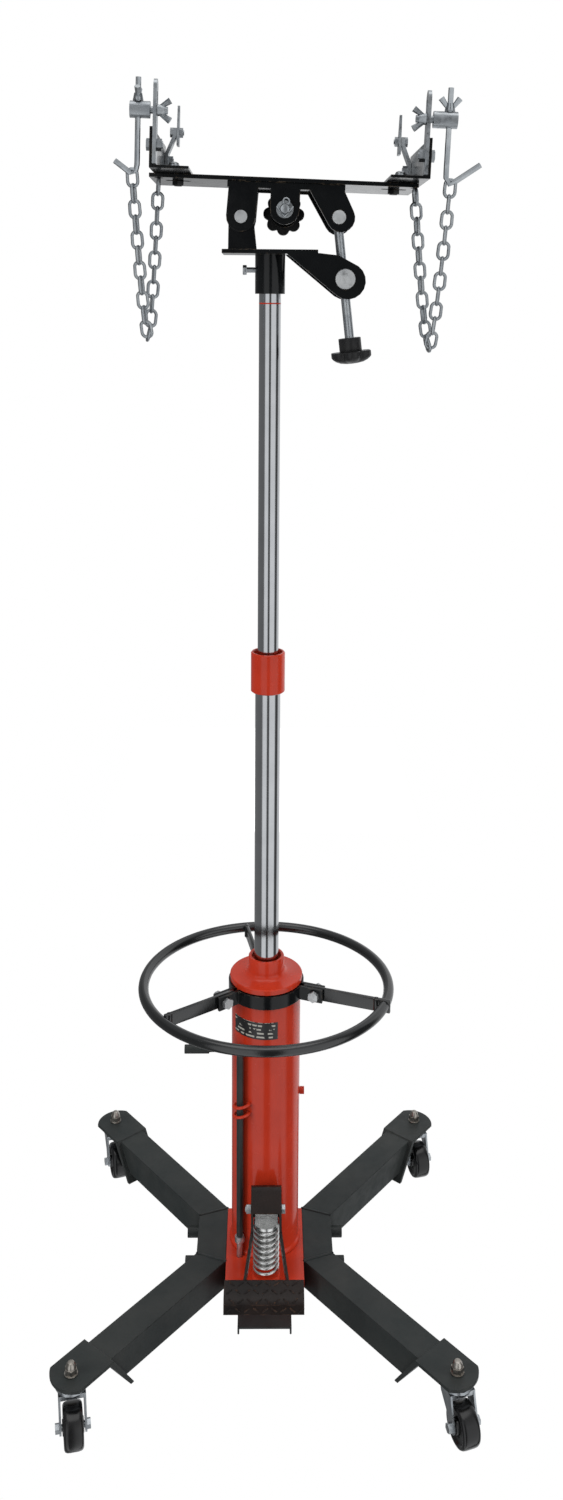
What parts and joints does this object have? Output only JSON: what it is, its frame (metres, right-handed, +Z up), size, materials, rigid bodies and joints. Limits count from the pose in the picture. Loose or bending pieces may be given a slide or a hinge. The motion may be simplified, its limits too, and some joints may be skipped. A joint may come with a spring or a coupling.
{
  "type": "telescopic transmission jack",
  "caption": "Two-stage hydraulic transmission jack on a castered leg base, with hand ring, foot pedal, and a tilting, shifting saddle with hooks and chains.",
  "frame": {"origin": "on the floor at the middle of the footprint of the four casters; the column's axis stands 8 mm behind it", "axes": "+Z up along the column, +X to the right of someone facing the pedal, -Y towards the pedal and the operator"},
  "size_m": [0.6534, 0.6834, 1.9876],
  "materials": {
    "red_paint": "glossy orange-red enamel",
    "satin_black": "satin black paint",
    "gloss_black": "gloss black paint",
    "chrome": "polished hard chrome",
    "steel": "plain turned steel",
    "zinc": "bright zinc plate",
    "black_plastic": "satin moulded plastic",
    "wheel_plastic": "smooth hard plastic"
  },
  "bodies": {
    "base": {"base_block": "red_paint", "front_channel": "satin_black", "side_frame_left": "satin_black", "side_frame_right": "satin_black", "frame_bolt_front": "satin_black", "frame_bolt_rear": "satin_black", "kingpin_front_left": "zinc", "kingpin_front_right": "zinc", "kingpin_rear_left": "zinc", "kingpin_rear_right": "zinc", "cylinder_tube": "red_paint", "inner_cylinder": "steel", "cylinder_cap": "red_paint", "filler_plug": "red_paint", "hand_ring": "gloss_black", "clamp_band_front": "gloss_black", "clamp_band_rear": "gloss_black", "clamp_bolt_left": "zinc", "clamp_bolt_right": "zinc", "pump_body": "red_paint", "fulcrum_bolt": "zinc", "return_spring": "steel"},
    "lower_stage": {"lower_ram": "chrome", "ram_piston": "steel", "ram_collar": "red_paint"},
    "upper_stage": {"upper_ram": "chrome"},
    "head": {"head_bracket": "gloss_black", "tilt_pin": "zinc"},
    "socket_screw": {"set_screw": "zinc"},
    "lower_swivel": {"lower_trunnion": "zinc"},
    "cradle_body": {"cradle": "gloss_black"},
    "upper_swivel": {"upper_trunnion": "zinc"},
    "tilt_spindle": {"tilt_screw": "zinc", "tilt_knob": "black_plastic"},
    "shift_spindle": {"shift_screw": "black_plastic"},
    "saddle": {"saddle_plate": "gloss_black", "end_angle_left": "gloss_black", "front_upright_left": "zinc", "rear_upright_left": "zinc", "safety_chain_left": "zinc", "end_angle_right": "gloss_black", "front_upright_right": "zinc", "rear_upright_right": "zinc", "safety_chain_right": "zinc"},
    "hook_left": {"hook_block_left": "zinc", "hook_rod_left": "zinc"},
    "hook_right": {"hook_block_right": "zinc", "hook_rod_right": "zinc"},
    "release": {"release_rod": "satin_black", "release_valve": "zinc"},
    "plunger": {"pump_plunger": "steel"},
    "pedal": {"pedal_lever": "satin_black"},
    "caster_front_left": {"caster_fork_front_left": "zinc"},
    "wheel_front_left": {"caster_wheel_front_left": "wheel_plastic"},
    "caster_front_right": {"caster_fork_front_right": "zinc"},
    "wheel_front_right": {"caster_wheel_front_right": "wheel_plastic"},
    "caster_rear_left": {"caster_fork_rear_left": "zinc"},
    "wheel_rear_left": {"caster_wheel_rear_left": "wheel_plastic"},
    "caster_rear_right": {"caster_fork_rear_right": "zinc"},
    "wheel_rear_right": {"caster_wheel_rear_right": "wheel_plastic"}
  },
  "joints": [
    {"name": "lower_stage_lift", "type": "slide", "parent": "base", "child": "lower_stage", "axis": [0, 0, 1], "range_m": [-0.45, 0]},
    {"name": "upper_stage_lift", "type": "slide", "parent": "lower_stage", "child": "upper_stage", "axis": [0, 0, 1], "range_m": [-0.52, 0]},
    {"name": "head_swivel", "type": "hinge", "parent": "upper_stage", "child": "head", "pos_m": [0, 0.008, 1.72], "axis": [0, 0, 1], "continuous": true},
    {"name": "socket_screw_turn", "type": "hinge", "parent": "head", "child": "socket_screw", "pos_m": [-0.03, 0.008, 1.731], "axis": [1, 0, 0], "continuous": true},
    {"name": "saddle_tilt", "type": "hinge", "parent": "head", "child": "cradle_body", "pos_m": [-0.0432, 0.008, 1.806], "axis": [0, 1, 0], "range_deg": [-18, 4]},
    {"name": "lower_swivel_turn", "type": "hinge", "parent": "head", "child": "lower_swivel", "pos_m": [0.1103, 0.008, 1.7179], "axis": [0, 1, 0], "range_deg": [-1.5, 1.5]},
    {"name": "screw_swing", "type": "hinge", "parent": "cradle_body", "child": "upper_swivel", "pos_m": [0.09978, 0.008, 1.80621], "axis": [0, 1, 0], "range_deg": [-4, 18]},
    {"name": "tilt_spindle_turn", "type": "hinge", "parent": "upper_swivel", "child": "tilt_spindle", "pos_m": [0.09978, 0.008, 1.80621], "axis": [0.1183, 0, -0.993], "range_deg": [-5600, 1300]},
    {"name": "saddle_shift", "type": "slide", "parent": "cradle_body", "child": "saddle", "axis": [0, 1, 0], "range_m": [-0.018, 0.018]},
    {"name": "shift_spindle_turn", "type": "hinge", "parent": "cradle_body", "child": "shift_spindle", "pos_m": [0.02066, 0.008, 1.8165], "axis": [0, 1, 0], "range_deg": [-2200, 2200]},
    {"name": "hook_slide_left", "type": "slide", "parent": "saddle", "child": "hook_left", "axis": [0.0314, 0, 0.9995], "range_m": [0, 0.019]},
    {"name": "hook_slide_right", "type": "slide", "parent": "saddle", "child": "hook_right", "axis": [0.0314, 0, 0.9995], "range_m": [0, 0.019]},
    {"name": "release_turn", "type": "hinge", "parent": "base", "child": "release", "pos_m": [-0.0425, -0.0425, 0.29], "axis": [0, 0, 1], "range_deg": [-30, 90]},
    {"name": "pedal_press", "type": "hinge", "parent": "base", "child": "pedal", "pos_m": [0.002, -0.058, 0.198], "axis": [1, 0, 0], "range_deg": [0, 15], "stiffness_Nm_per_rad": 10, "springref_deg": -17.19},
    {"name": "plunger_stroke", "type": "slide", "parent": "base", "child": "plunger", "axis": [0, 0, 1], "range_m": [-0.0087, 0.0002], "deforming": ["return_spring"]},
    {"name": "caster_swivel_front_left", "type": "hinge", "parent": "base", "child": "caster_front_left", "pos_m": [-0.2905, -0.2825, 0.08], "axis": [0, 0, 1], "continuous": true},
    {"name": "wheel_spin_front_left", "type": "hinge", "parent": "caster_front_left", "child": "wheel_front_left", "pos_m": [-0.2853, -0.30695, 0.0325], "axis": [0.9781, 0.2079, 0], "continuous": true},
    {"name": "caster_swivel_front_right", "type": "hinge", "parent": "base", "child": "caster_front_right", "pos_m": [0.2905, -0.2825, 0.08], "axis": [0, 0, 1], "continuous": true},
    {"name": "wheel_spin_front_right", "type": "hinge", "parent": "caster_front_right", "child": "wheel_front_right", "pos_m": [0.29823, -0.30628, 0.0325], "axis": [0.9511, 0.309, 0], "continuous": true},
    {"name": "caster_swivel_rear_left", "type": "hinge", "parent": "base", "child": "caster_rear_left", "pos_m": [-0.293, 0.3105, 0.08], "axis": [0, 0, 1], "continuous": true},
    {"name": "wheel_spin_rear_left", "type": "hinge", "parent": "caster_rear_left", "child": "wheel_rear_left", "pos_m": [-0.28611, 0.28647, 0.0325], "axis": [0.9613, 0.2756, 0], "continuous": true},
    {"name": "caster_swivel_rear_right", "type": "hinge", "parent": "base", "child": "caster_rear_right", "pos_m": [0.293, 0.3105, 0.08], "axis": [0, 0, 1], "continuous": true},
    {"name": "wheel_spin_rear_right", "type": "hinge", "parent": "caster_rear_right", "child": "wheel_rear_right", "pos_m": [0.29905, 0.28624, 0.0325], "axis": [0.9703, 0.2419, 0], "continuous": true}
  ],
  "couplings": [
    {"joint": "screw_swing", "follows": "saddle_tilt", "ratio": -1},
    {"joint": "tilt_spindle_turn", "follows": "saddle_tilt", "ratio": 299.5},
    {"joint": "shift_spindle_turn", "follows": "saddle_shift", "rad_per_m": 2094.4},
    {"joint": "plunger_stroke", "follows": "pedal_press", "m_per_rad": -0.03245}
  ]
}
